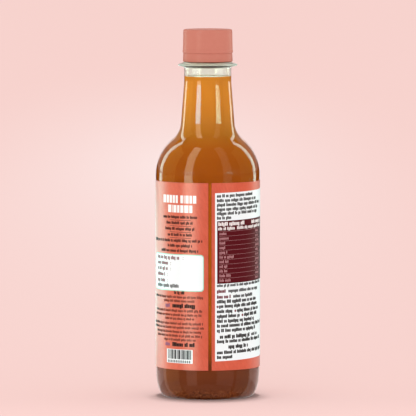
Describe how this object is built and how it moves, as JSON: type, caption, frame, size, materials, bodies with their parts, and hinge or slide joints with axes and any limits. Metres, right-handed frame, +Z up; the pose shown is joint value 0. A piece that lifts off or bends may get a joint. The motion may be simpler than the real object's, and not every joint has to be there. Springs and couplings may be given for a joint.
{
  "type": "vinegar bottle",
  "caption": "Clear plastic bottle of cloudy amber vinegar, closed by a coral screw cap and tamper band, with a wrap-around coral label.",
  "frame": {"origin": "on the bottle's axis, in the plane it stands on", "axes": "+Z up along the bottle's axis, -Y out through the front, where the label's two ends nearly meet"},
  "size_m": [0.0646, 0.0646, 0.2268],
  "materials": {
    "clear_plastic": "clear, glossy, smooth",
    "vinegar": "cloudy amber liquid, browner lower down, with fine sediment on the floor",
    "cap_plastic": "smooth satin moulded plastic",
    "band_plastic": "smooth satin moulded plastic",
    "label_print": "coated paper, printed in flat coral, white, maroon and black"
  },
  "bodies": {
    "root": {"bottle": "clear_plastic", "vinegar": "vinegar", "cap": "cap_plastic", "tamper_band": "band_plastic", "label": "label_print"}
  },
  "joints": []
}
